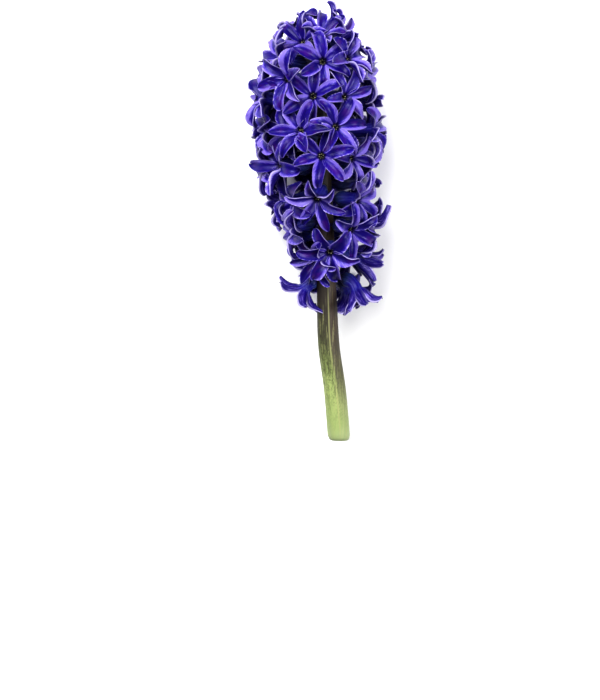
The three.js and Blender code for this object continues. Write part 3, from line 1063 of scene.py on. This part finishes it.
    def parted(self, crowd: Crowd, mouths: Mouths) -> Laws:
        """How the tepals lie once those that would run through each other have leaned apart.

        Two places on different florets that lie nearly over each other are pushed apart along the sum of
        the ways that they face, the shared face. A push is what the height of one over the other lacks of
        the gap, and it counts less the further the two lie aside, as a bell curve whose width is the hold.
        Where the height is less than the level, the layers decide which one is above. A place is pushed by
        the sum of its pushes over one more than the sum of their weights, and its tepal turns about its
        base by the mean of that over the distance from the base, by the most at the most.

        Args:
            crowd: The florets.
            mouths: Their mouths.

        Returns:
            The laws.
        """
        laws = self.laws(crowd, crowd.spin, 1.0)
        first = laws.first.copy()
        count = len(self.parting_places)
        arm = np.array(self.parting_places) * self.tepal_length
        owner = np.repeat(np.arange(len(crowd.seed)), TEPALS * count)
        start = self.tepal_places(mouths, laws, self.parting_places)[0].reshape(-1, 3)
        distance = np.linalg.norm(start[:, None] - start, axis=-1)
        here, there = np.nonzero((distance < self.parting_range) & (owner[:, None] != owner))
        seed = crowd.seed[owner]
        order = seed[here] % self.layers - seed[there] % self.layers
        order = np.where(order == 0, seed[here] - seed[there], order)
        for _ in range(self.parting_steps):
            parts = self.tepal_places(mouths, laws, self.parting_places)
            point, face = (part.reshape(-1, 3) for part in parts)
            way = point[here] - point[there]
            shared = face[here] + face[there]
            size = np.linalg.norm(shared, axis=-1)
            height = (way * shared).sum(-1) / np.maximum(size, 0.1)
            weight = np.exp((height**2 - (way**2).sum(-1)) / (2 * self.parting_hold**2))
            weight = weight * (size > self.parting_face)
            above = np.sign(np.where(np.abs(height) > self.parting_level, height, order))
            push = weight * above * np.clip(self.parting_gap - np.abs(height), 0, None)
            pushed = np.bincount(here, push, len(owner)) / (1 + np.bincount(here, weight, len(owner)))
            turn = np.degrees((pushed.reshape(len(crowd.seed), TEPALS, count) / arm).mean(-1))
            laws.first = np.clip(laws.first - turn, first - self.most_parted, first + self.most_parted)
        return laws


# Florets


@dataclass
class Tepals:
    """How each tepal is shaped and turned: one value a tepal, in arrays of shape (florets, 6).

    Angles are in degrees. The tepals lie as the rule's laws say, with some more of their own.
    """

    laws: Laws
    width: Array
    bluntness: Array
    tip_lean: Array
    bend: Array
    twist: Array
    phase: Array


@dataclass
class Midlines:
    """Midlines of the tepals and the directions on them, in arrays of shape (florets, 6, places, 3)."""

    point: Array
    side: Array
    face: Array


@dataclass(frozen=True)
class FloretSurface:
    """One floret as a single closed sheet, folded over at the tips of its six tepals.

    The sheet runs from the root up the outside of the tube and the backs of the tepals to their tips, and
    back down their fronts and the inside of the tube to its floor. Sizes are in millimetres at full size,
    angles in degrees.

    The radii are pairs of a place along the tube and a value, and the cup is pairs of a place along a tepal
    and the height of its margins over its midline. The upturn is the share of that height close to the
    margins. Side_width is how much broader the tepals are on florets that the photograph shows less
    plainly. Wall_lean and wall_fade are how a tepal leaves the tube. Each jitter, and the twist, bend and
    wave, is the most that a tepal's own draw makes of it.
    """

    columns: int = 12
    stations: int = 15
    tip_crowding: float = 1.5
    tube_rows: int = 15
    throat_rows: int = 5
    tube_radius: Pairs = (
        (0.0, 1.5), (0.06, 1.15), (0.2, 1.15), (0.3, 2.4), (0.42, 4.2),
        (0.52, 4.8), (0.72, 4.3), (0.88, 4.2), (1.0, 4.4),
    )
    pedicel_end: float = 0.1
    swelling: float = 0.3
    throat_radius: Pairs = ((0.5, 1.5), (0.6, 1.8), (0.8, 1.6), (1.0, 1.8))
    floor_at: float = 0.46
    furrow: float = 0.07
    half_width: float = 3.45
    base_width: float = 0.66
    tip_bluntness: float = 4.0
    bluntness_jitter: float = 1.6
    tip_width: float = 0.12
    widest_at: float = 0.45
    taper_power: float = 0.65
    cup: Pairs = ((0.0, 0.6), (0.3, 2.2), (0.65, 2.3), (1.0, 0.9))
    upturn: float = 0.4
    groove: float = 0.45
    groove_width: float = 0.2
    thickness: float = 1.15
    margin_thickness: float = 0.34
    tip_thinning: float = 0.45
    wave: float = 0.7
    wave_count: float = 9.0
    wave_shift: float = 2.0
    wave_fade: float = 0.4
    wall_lean: float = 10.0
    wall_fade: float = 0.24
    width_jitter: float = 0.12
    side_width: float = 1.16
    twist: float = 34.0
    bend: float = 17.0
    tip_from: float = 0.6
    tip_curl: float = 16.0
    tip_curl_jitter: float = 34.0

    def across(self) -> Array:
        """Places across a tepal from -1 to 1, closer together towards the margins."""
        return np.sin(np.linspace(-1, 1, self.columns + 1) * math.pi / 2)

    def lengths(self) -> Array:
        """Places along a tepal from 0 to 1, closer together towards the tip."""
        return 1 - (1 - np.linspace(0, 1, self.stations + 1)) ** self.tip_crowding

    def tube_places(self) -> Array:
        """Places of the rings on the outside of the tube, from the root to the mouth."""
        return np.linspace(0, 1, self.tube_rows)

    def throat_places(self) -> Array:
        """Places of the rings inside the tube, from the mouth down to the floor."""
        return np.linspace(1, self.floor_at, self.throat_rows)

    def base_columns(self) -> Array:
        """Columns of the mouth's ring that each tepal stands on, of shape (6, columns + 1)."""
        first = self.columns * np.arange(TEPALS)[:, None]
        return (first + np.arange(self.columns + 1)) % (TEPALS * self.columns)

    def tepals(self, rule: Arrangement, crowd: Crowd, laws: Laws) -> Tepals:
        """The tepals, with draws of their own for their width, twist and bends.

        Args:
            rule: The rule that places the florets.
            crowd: The florets.
            laws: How the tepals lie.

        Returns:
            The tepals.
        """
        count = len(crowd.seed)
        wobble = draws(crowd.seed + SHAPE_SEEDS, 6 * TEPALS).reshape(count, TEPALS, 6).transpose(2, 0, 1)
        twist, bend, tip, phase, width, blunt = wobble
        scale = rule.scale(crowd) * np.where(crowd.fixed, 1, self.side_width)
        return Tepals(
            laws=laws,
            width=scale[:, None] * (1 + self.width_jitter * width),
            bluntness=self.tip_bluntness + self.bluntness_jitter * blunt,
            tip_lean=self.tip_curl + self.tip_curl_jitter * tip,
            bend=self.bend * bend,
            twist=self.twist * twist,
            phase=math.pi * phase,
        )

    def midlines(self, rule: Arrangement, tepals: Tepals, crowd: Crowd, mouths: Mouths) -> Midlines:
        """Midlines that leave the wall of the tube and lean further back the further they go.

        The lean rises evenly from its first value, starts from the wall's own lean, and rises once more at
        the tip. A point is the sum of the steps before it, each along the way that it leans.

        Args:
            rule: The rule that places the florets.
            tepals: The tepals.
            crowd: The florets.
            mouths: Their mouths.

        Returns:
            The midlines at the places that lengths gives.
        """
        u = self.lengths()
        middle = (u[1:] + u[:-1]) / 2
        out, _, lean = self.directions(tepals, mouths, middle)
        facing = mouths.facing[:, None, None]
        step = (tepals.laws.length[..., None] * np.diff(u))[..., None]
        steps = np.cumsum(step * (facing * np.cos(lean) + out * np.sin(lean)), axis=2)
        out, side, lean = self.directions(tepals, mouths, u)
        rim = (rule.mouth_radius * rule.scale(crowd))[:, None, None, None]
        start = mouths.throat[:, None, None] + out[:, :, :1] * rim
        point = np.concatenate([start, start + steps], axis=2)
        face = facing * np.sin(lean) - out * np.cos(lean)
        roll = np.radians(tepals.twist)[..., None, None] * u[:, None]
        sine, cosine = np.sin(roll), np.cos(roll)
        return Midlines(point, side * cosine + face * sine, face * cosine - side * sine)

    def directions(self, tepals: Tepals, mouths: Mouths, u: Array) -> tuple[Array, Array, Array]:
        """Ways away from a floret's axis and across a tepal, and the lean in radians.

        The way turns about the axis with the square of the place. The lean eases from the wall's to the
        law's, which rises evenly, and towards the tip the tip's own lean comes on top.

        Args:
            tepals: The tepals.
            mouths: The mouths.
            u: Places along the tepals.

        Returns:
            Two arrays of shape (florets, 6, places, 3) and one of shape (florets, 6, places, 1).
        """
        turn = np.radians(tepals.laws.turn[..., None] + tepals.bend[..., None] * u**2)[..., None]
        right, up = mouths.right[:, None, None], mouths.up[:, None, None]
        law = tepals.laws.first[..., None] + tepals.laws.span[..., None] * u
        law = law + tepals.tip_lean[..., None] * ease((u - self.tip_from) / (1 - self.tip_from))
        lean = np.radians(self.wall_lean + (law - self.wall_lean) * ease(u / self.wall_fade))[..., None]
        return right * np.cos(turn) + up * np.sin(turn), up * np.cos(turn) - right * np.sin(turn), lean

    def blades(self, tepals: Tepals, lines: Midlines) -> tuple[Array, Array]:
        """Backs and fronts of the tepals.

        Across the midline, the front rises to the margins with the square and, close to them, the sixth
        power of the distance, with a groove in the middle and waves along the margins. The back lies behind
        it by a thickness that falls off to the margins.

        Args:
            tepals: The tepals.
            lines: Their midlines.

        Returns:
            Two arrays of shape (florets, 6, stations + 1, columns + 1, 3).
        """
        u = self.lengths()[:, None]
        v = self.across()
        widening = np.sin(np.clip(u / self.widest_at, 0, 1) * math.pi / 2)
        taper = (1 - u ** tepals.bluntness[..., None, None]) ** self.taper_power
        opening = self.base_width + (1 - self.base_width) * widening
        half = self.half_width * opening * taper + self.tip_width
        fold = (1 - self.upturn) * v**2 + self.upturn * v**6
        groove = self.groove * np.exp(-((v / self.groove_width) ** 2))
        phase = tepals.phase[..., None, None] + self.wave_shift * np.sign(v)
        ripple = np.sin(self.wave_count * u + phase)
        rise = smooth_along(self.cup, u[:, 0])[:, None] * fold - groove
        rise = rise + self.wave * ripple * np.abs(v) ** 3 * ease(u / self.wave_fade)
        thick = self.margin_thickness + (self.thickness - self.margin_thickness) * (1 - v**2)
        thick = thick * (1 - self.tip_thinning * u**2)
        width = tepals.width[..., None, None, None]
        side, face = lines.side[..., None, :], lines.face[..., None, :]
        front = lines.point[..., None, :] + (side * (half * v)[..., None] + face * rise[..., None]) * width
        return front - face * thick[..., None] * width, front

    def tube(self, mouths: Mouths, at: Array, radius: Array, spin: Array) -> Array:
        """Rings round a floret's centreline: points at the radius, drawn in a little between the tepals.

        Args:
            mouths: The centrelines.
            at: Places along them from 0 at the root to 1 at the mouth.
            radius: Radius of each ring, of shape (florets, rings).
            spin: How far each floret is turned on its tube, in radians.

        Returns:
            Points of shape (florets, rings, tepals times columns, 3).
        """
        root, bend, throat = (point[:, None] for point in (mouths.root, mouths.bend, mouths.throat))
        t = at[:, None]
        centre = root * (1 - t) ** 2 + bend * 2 * t * (1 - t) + throat * t**2
        tangent = unit((bend - root) * (1 - t) + (throat - bend) * t)
        up = unit(mouths.up[:, None] - tangent * (tangent * mouths.up[:, None]).sum(-1, keepdims=True))
        right = np.cross(up, tangent)
        across = np.tile(self.across()[:-1], TEPALS)
        sector = 2 * math.pi / TEPALS
        angle = sector * (np.repeat(np.arange(TEPALS), self.columns) + across / 2) + spin[:, None]
        ring = np.cos(angle)[:, None, :, None] * right[:, :, None]
        ring = ring + np.sin(angle)[:, None, :, None] * up[:, :, None]
        furrowed = radius[:, :, None] * (1 - self.furrow * across**4)
        return centre[:, :, None] + ring * furrowed[..., None]

    def points(self, rule: Arrangement, tepals: Tepals, crowd: Crowd, mouths: Mouths) -> Array:
        """All vertices, in the order that the faces count them.

        A blade's first row is moved on to the mouth's ring, and the move fades out along the blade.

        Args:
            rule: The rule that places the florets.
            tepals: The tepals.
            crowd: The florets.
            mouths: Their mouths.

        Returns:
            An array of shape (florets, vertices, 3).
        """
        count = len(crowd.seed)
        scale = rule.scale(crowd)[:, None]
        spin = np.radians(crowd.spin)
        at = self.tube_places()
        grown = 1 + (scale - 1) * ease((at - self.pedicel_end) / self.swelling)
        outer = self.tube(mouths, at, smooth_along(self.tube_radius, at) * grown, spin)
        down = self.throat_places()
        inner = self.tube(mouths, down, smooth_along(self.throat_radius, down) * scale, spin)
        rings = (outer[:, -1], inner[:, 0])
        fade = (1 - ease(self.lengths() / self.wall_fade))[:, None, None]
        blades = [
            blade + (ring[:, self.base_columns()] - blade[:, :, 0])[:, :, None] * fade
            for blade, ring in zip(self.blades(tepals, self.midlines(rule, tepals, crowd, mouths)), rings)
        ]
        foot = outer[:, 0].mean(axis=1)
        floor = inner[:, -1].mean(axis=1)
        parts = [outer, inner, *(blade[:, :, 1:] for blade in blades), foot, floor]
        return np.concatenate([part.reshape(count, -1, 3) for part in parts], axis=1)

    def faces(self) -> list[Array]:
        """Faces of the sheet: two tubes, backs, fronts, the rims between them and two ends.

        Returns:
            The quads and the triangles.
        """
        m, n = self.columns, self.stations
        start = 0
        grids = []
        blade = (TEPALS, n, m + 1)
        for shape in ((self.tube_rows, TEPALS * m), (self.throat_rows, TEPALS * m), blade, blade):
            grids.append(start + np.arange(math.prod(shape)).reshape(shape))
            start += math.prod(shape)
        outer, inner, back, front = grids
        back = np.concatenate([outer[-1][self.base_columns()][:, None], back], axis=1)
        front = np.concatenate([inner[0][self.base_columns()][:, None], front], axis=1)
        foot, floor = np.full(TEPALS * m, start), np.full(TEPALS * m, start + 1)
        left = np.stack([front[..., 0], back[..., 0]], axis=-1)
        right = np.stack([back[..., -1], front[..., -1]], axis=-1)
        tips = np.stack([back[:, -1], front[:, -1]], axis=1)
        quads = [wrapped(outer), wrapped(inner), back, front[..., ::-1], left, right, tips]
        bottom = np.stack([foot, np.roll(outer[0], -1), outer[0]], axis=-1)
        top = np.stack([floor, inner[-1], np.roll(inner[-1], -1)], axis=-1)
        return [np.concatenate([grid_faces(quad) for quad in quads]), np.concatenate([bottom, top])]

    def place_values(self) -> Array:
        """Place of each vertex on the floret: across, along and face.

        Returns:
            An array of shape (vertices, 3).
        """
        tube_across = np.tile(self.across()[:-1], TEPALS)
        grids = []
        for at, face in ((self.tube_places(), Face.OUTER), (self.throat_places(), Face.INNER)):
            grids.append(np.broadcast_arrays(tube_across, at[:, None], face.value))
        for face in Face:
            across = np.broadcast_to(self.across(), (TEPALS, self.stations, self.columns + 1))
            grids.append(np.broadcast_arrays(across, 1 + self.lengths()[1:, None], face.value))
        grids.append((np.zeros(2), np.array([0.0, self.floor_at]), np.array([face.value for face in Face])))
        return np.concatenate([np.stack(grid, axis=-1).reshape(-1, 3) for grid in grids])

    def tone_values(self, seed: int) -> Array:
        """A number from -1 to 1 at each vertex, the same all over a tepal and over the tube.

        Args:
            seed: The floret's seed.

        Returns:
            An array of shape (vertices,).
        """
        tones = draws(np.array([seed + TONE_SEEDS]), 1 + TEPALS)[0]
        tube = (self.tube_rows + self.throat_rows) * TEPALS * self.columns
        blade = np.repeat(tones[1:], self.stations * (self.columns + 1))
        return np.concatenate([np.full(tube, tones[0]), blade, blade, np.full(2, tones[0])])


@dataclass(frozen=True)
class Stamens:
    """Six pollen sacs round the inside of the mouth and the stigma between them, as small ovals."""

    rings: int = 3
    sides: int = 6
    sac_radius: float = 0.42
    sac_half_length: float = 1.1
    sac_distance: float = 1.35
    sac_depth: float = 1.2
    stigma_depth: float = 4.0

    def points(self, rule: Arrangement, crowd: Crowd, mouths: Mouths) -> Array:
        """Vertices of the ovals.

        An oval is a sphere that is stretched along the floret's axis: rings whose radius is the sine of
        their distance from the pole, and a pole at each end.

        Args:
            rule: The rule that places the florets.
            crowd: The florets.
            mouths: Their mouths.

        Returns:
            An array of shape (florets, ovals times vertices, 3).
        """
        count = len(crowd.seed)
        scale = rule.scale(crowd)[:, None, None]
        turn = np.radians(crowd.spin[:, None] + 360 / TEPALS * np.arange(TEPALS))[..., None]
        out = mouths.right[:, None] * np.cos(turn) + mouths.up[:, None] * np.sin(turn)
        facing = mouths.facing[:, None]
        sacs = mouths.throat[:, None] + (out * self.sac_distance - facing * self.sac_depth) * scale
        stigma = mouths.throat[:, None] - facing * self.stigma_depth * scale
        middles = np.concatenate([sacs, stigma], axis=1)[:, :, None]
        polar = np.linspace(0, math.pi, self.rings + 2)[1:-1, None]
        angle = np.arange(self.sides) * 2 * math.pi / self.sides
        flat = np.sin(polar) * np.cos(angle), np.sin(polar) * np.sin(angle)
        rings = np.stack(np.broadcast_arrays(np.cos(polar), *flat), axis=-1).reshape(-1, 3)
        level, wide, deep = np.concatenate([rings, ((1, 0, 0), (-1, 0, 0))]).T[..., None]
        right, up = mouths.right[:, None, None], mouths.up[:, None, None]
        shape = (right * wide + up * deep) * self.sac_radius
        shape = shape + facing[:, :, None] * level * self.sac_half_length
        return (middles + shape * scale[..., None]).reshape(count, -1, 3)

    def faces(self, start: int) -> list[Array]:
        """Faces of the seven ovals.

        Args:
            start: Number of their first vertex.

        Returns:
            The quads and the triangles.
        """
        count = self.rings * self.sides
        ovals = start + np.arange(TEPALS + 1)[:, None] * (count + 2)
        rings = wrapped(ovals[..., None] + np.arange(count).reshape(self.rings, self.sides))
        first, last = (np.broadcast_to(ovals + end, (TEPALS + 1, self.sides)) for end in (count, count + 1))
        caps = (
            np.stack([first, rings[:, 0, :-1], rings[:, 0, 1:]], axis=-1),
            np.stack([last, rings[:, -1, 1:], rings[:, -1, :-1]], axis=-1),
        )
        return [grid_faces(rings[:, ::-1]), np.concatenate(caps).reshape(-1, 3)]


@dataclass
class FlowerHead:
    """The florets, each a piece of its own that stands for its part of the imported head."""

    line: StalkLine
    shift: Array
    rule: Arrangement = field(default_factory=Arrangement)
    surface: FloretSurface = field(default_factory=FloretSurface)
    stamens: Stamens = field(default_factory=Stamens)
    petal: PetalFinish = field(default_factory=PetalFinish)
    anther: AntherFinish = field(default_factory=AntherFinish)

    def build(self) -> list[bpy.types.Object]:
        """Makes the florets.

        The mouth of each is raised by what the floret would reach below the surface, so that the lowest
        ones only touch it.

        Returns:
            The pieces.
        """
        crowd = self.rule.crowd(self.line)
        mouths = self.rule.mouths(crowd, self.line, np.zeros(self.rule.florets))
        tepals = self.surface.tepals(self.rule, crowd, self.rule.parted(crowd, mouths))
        under = -self.surface.points(self.rule, tepals, crowd, mouths)[..., 2].min(axis=1)
        mouths = self.rule.mouths(crowd, self.line, np.maximum(0, under))
        sheets = self.surface.points(self.rule, tepals, crowd, mouths) + self.shift
        ovals = self.stamens.points(self.rule, crowd, mouths) + self.shift
        quads, triangles = self.surface.faces()
        sacs = self.stamens.faces(sheets.shape[1])
        faces = [quads, triangles, *sacs]
        material = np.repeat([0, 1], [len(quads) + len(triangles), len(sacs[0]) + len(sacs[1])])
        places = np.concatenate([self.surface.place_values(), np.zeros((ovals.shape[1], 3))])
        pieces = []
        for i, seed in enumerate(crowd.seed):
            piece = mesh_object(f"floret_{i + 1:02d}", np.concatenate([sheets[i], ovals[i]]), faces)
            piece.data.polygons.foreach_set("material_index", material)
            add_attribute(piece, "place", places)
            tones = np.append(self.surface.tone_values(int(seed)), np.zeros(ovals.shape[1]))
            add_attribute(piece, "tone", tones)
            pieces.append(piece)
        return pieces

    def dress(self, pieces: list[bpy.types.Object]) -> None:
        """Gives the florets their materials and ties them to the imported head.

        Args:
            pieces: The florets.
        """
        materials = (self.petal.material(), self.anther.material())
        for piece in pieces:
            for material in materials:
                piece.data.materials.append(material)
            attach(piece, "root")
            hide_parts("flower_head")
        log.info("florets: %d pieces of %d faces", len(pieces), len(pieces[0].data.polygons))


# Stalk


@dataclass
class Stalk:
    """One smooth stalk from the cut to the tip, which stands for the scape and for the rachis in the head.

    The ridge depth is a share of the radius, and the swell share a share of that depth. The turns are in
    radians a millimetre. Close to the cut, over the edge length, the radius falls off by the edge depth,
    and the face shares are the rings on the cut face, as shares of the way out to its edge.
    """

    line: StalkLine
    shift: Array
    rows: int = 110
    sides: int = 48
    ridges: int = 5
    ridge_depth: float = 0.025
    ridge_turn: float = 0.02
    swells: int = 3
    swell_share: float = 0.5
    swell_turn: float = -0.03
    edge_length: float = 3.0
    edge_depth: float = 0.12
    face_shares: tuple[float, ...] = (0.3, 0.6, 0.85)
    finish: StalkFinish = field(default_factory=StalkFinish)

    def radii(self, height: Array, angle: Array) -> Array:
        """Radius of the stalk: that of its line, with two waves round it and a rounded edge at the cut.

        The ridges and the broader swells are cosines of the angle, which turn slowly along the stalk, and
        the edge is a quarter of an ellipse.

        Args:
            height: Heights of the rows.
            angle: Angles of the sides, in radians.

        Returns:
            An array of shape (rows, sides).
        """
        up = height[:, None]
        ridges = np.cos(self.ridges * angle + self.ridge_turn * up)
        waves = ridges + self.swell_share * np.cos(self.swells * angle + self.swell_turn * up)
        inward = 1 - np.clip((up - self.line.cut) / self.edge_length, 0, 1)
        edge = 1 - self.edge_depth * (1 - np.sqrt(1 - inward**2))
        return smooth_along(self.line.radius, height)[:, None] * (1 + self.ridge_depth * waves) * edge

    def build(self) -> bpy.types.Object:
        """Makes the stalk.

        Rings of its radius are carried along its line. More rings fill the cut face, and a pole closes
        each end.

        Returns:
            The piece.
        """
        line = self.line
        height = np.linspace(line.cut, line.tip, self.rows)
        angle = np.arange(self.sides) * 2 * math.pi / self.sides
        centre = np.stack([smooth_along(line.x, height), height, smooth_along(line.z, height)], axis=-1)
        out = np.stack([np.sin(angle), np.zeros(self.sides), np.cos(angle)], axis=-1)
        wall = centre[:, None] + out * self.radii(height, angle)[..., None]
        shares = np.array(self.face_shares)
        face = centre[0] + (wall[0] - centre[0]) * shares[:, None, None]
        poles = np.stack([centre[0], centre[-1]])
        points = np.concatenate([face.reshape(-1, 3), wall.reshape(-1, 3), poles]) + self.shift
        index = np.arange(len(points) - 2).reshape(-1, self.sides)
        first, last = np.full(self.sides, len(points) - 2), np.full(self.sides, len(points) - 1)
        bottom = np.stack([first, np.roll(index[0], -1), index[0]], axis=-1)
        top = np.stack([last, index[-1], np.roll(index[-1], -1)], axis=-1)
        piece = mesh_object("stalk", points, [grid_faces(wrapped(index)), np.concatenate([bottom, top])])
        around = np.concatenate([np.tile(out, (len(index), 1)), ((0, 1, 0), (0, 0, 0))])
        around[: len(shares) * self.sides, 1] = np.repeat(1 - shares, self.sides)
        add_attribute(piece, "around", around)
        return piece

    def dress(self, piece: bpy.types.Object) -> None:
        """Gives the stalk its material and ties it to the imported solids.

        Args:
            piece: The stalk.
        """
        material = self.finish.material(self.line.cut, self.line.tip, float(self.shift[1]))
        piece.data.materials.append(material)
        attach(piece, "root")
        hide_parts("scape", "flower_head")
        log.info("stalk: %d faces", len(piece.data.polygons))


# Floor, lights and camera


@dataclass(frozen=True)
class Lamp:
    """A square soft light: its place and side, in metres, and its power in watts."""

    name: str
    place: tuple[float, float, float]
    side: float
    power: float


@dataclass(frozen=True)
class Studio:
    """A pale floor, soft lights, and the camera where the photograph was taken from.

    The eye and the target are in millimetres, in the frame of the stalk's line. The farthest is how far
    the camera sees, in metres.
    """

    shift: Array
    eye: tuple[float, float, float] = (-10.5, 33.0, 854.0)
    target: tuple[float, float, float] = (-10.5, -75.6, 34.0)
    picture_height_px: float = 700.0
    focal_length_px: float = 1322.0
    floor_size: float = 6000.0
    floor_colour: str = "F2F2F2"
    floor_roughness: float = 0.9
    lamps: tuple[Lamp, ...] = (
        Lamp("key", (-0.5, 0.6, 1.0), 1.0, 32.0),
        Lamp("fill", (0.8, 0.0, 0.8), 0.5, 12.5),
    )
    farthest: float = 20.0
    sky: float = 0.18
    gamma: float = 0.84

    def camera(self) -> None:
        """Makes the camera, with the top of the picture towards +Y."""
        camera = bpy.data.cameras.new("camera")
        camera.lens = camera.sensor_width * self.focal_length_px / self.picture_height_px
        camera.clip_end = self.farthest
        holder = bpy.data.objects.new("camera", camera)
        bpy.context.scene.collection.objects.link(holder)
        eye, target = (Vector((np.array(point) + self.shift) * METRE) for point in (self.eye, self.target))
        back = (eye - target).normalized()
        right = Vector((0, 1, 0)).cross(back).normalized()
        turn = Matrix((right, back.cross(right), back)).transposed().to_4x4()
        holder.matrix_world = Matrix.Translation(eye) @ turn
        bpy.context.scene.camera = holder

    def light(self, lamp: Lamp) -> None:
        """Makes a light that faces the flower.

        Args:
            lamp: The light.
        """
        data = bpy.data.lights.new(lamp.name, "AREA")
        data.size = lamp.side
        data.energy = lamp.power
        holder = bpy.data.objects.new(lamp.name, data)
        bpy.context.scene.collection.objects.link(holder)
        holder.location = lamp.place
        holder.rotation_euler = (-Vector(lamp.place)).to_track_quat("-Z", "Y").to_euler()

    def floor(self) -> None:
        """Makes the floor, one square at Z = 0."""
        half = self.floor_size / 2
        corners = np.array([(-half, -half, 0), (half, -half, 0), (half, half, 0), (-half, half, 0)], float)
        piece = mesh_object("floor", corners, [np.array([[0, 1, 2, 3]])])
        graph = Graph("pale floor")
        graph.shader.inputs["Base Color"].default_value = linear(self.floor_colour)
        graph.shader.inputs["Roughness"].default_value = self.floor_roughness
        piece.data.materials.append(graph.material)

    def build(self) -> None:
        """Makes the surroundings: the world's even light, the floor, the lamps and the camera."""
        world = bpy.data.worlds.new("studio")
        bpy.context.scene.world = world
        world.use_nodes = True
        world.node_tree.nodes["Background"].inputs["Color"].default_value = (1, 1, 1, 1)
        world.node_tree.nodes["Background"].inputs["Strength"].default_value = self.sky
        self.floor()
        for lamp in self.lamps:
            self.light(lamp)
        self.camera()
        view = bpy.context.scene.view_settings
        view.view_transform = "Standard"
        view.gamma = self.gamma
        log.info("studio: floor, %d lights, camera", len(self.lamps))


def frame_shift(line: StalkLine) -> Array:
    """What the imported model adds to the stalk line's places.

    The scape's box ends at the cut, and there a radius to the right of the line and a radius below it.

    Args:
        line: The stalk's line.

    Returns:
        The shift along X, Y and Z.
    """
    low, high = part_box("scape")
    radius = along(line.radius, line.cut)
    x, _, z = line.centre(np.array(line.cut))
    return np.array([high.x / METRE - x - radius, low.y / METRE - line.cut, low.z / METRE - z + radius])


def main() -> None:
    """Builds the flower and its surroundings."""
    logging.basicConfig(level=logging.INFO, format="%(message)s")
    line = StalkLine()
    shift = frame_shift(line)
    head = FlowerHead(line, shift)
    head.dress(head.build())
    stalk = Stalk(line, shift)
    stalk.dress(stalk.build())
    Studio(shift).build()


if __name__ == "__main__":
    main()
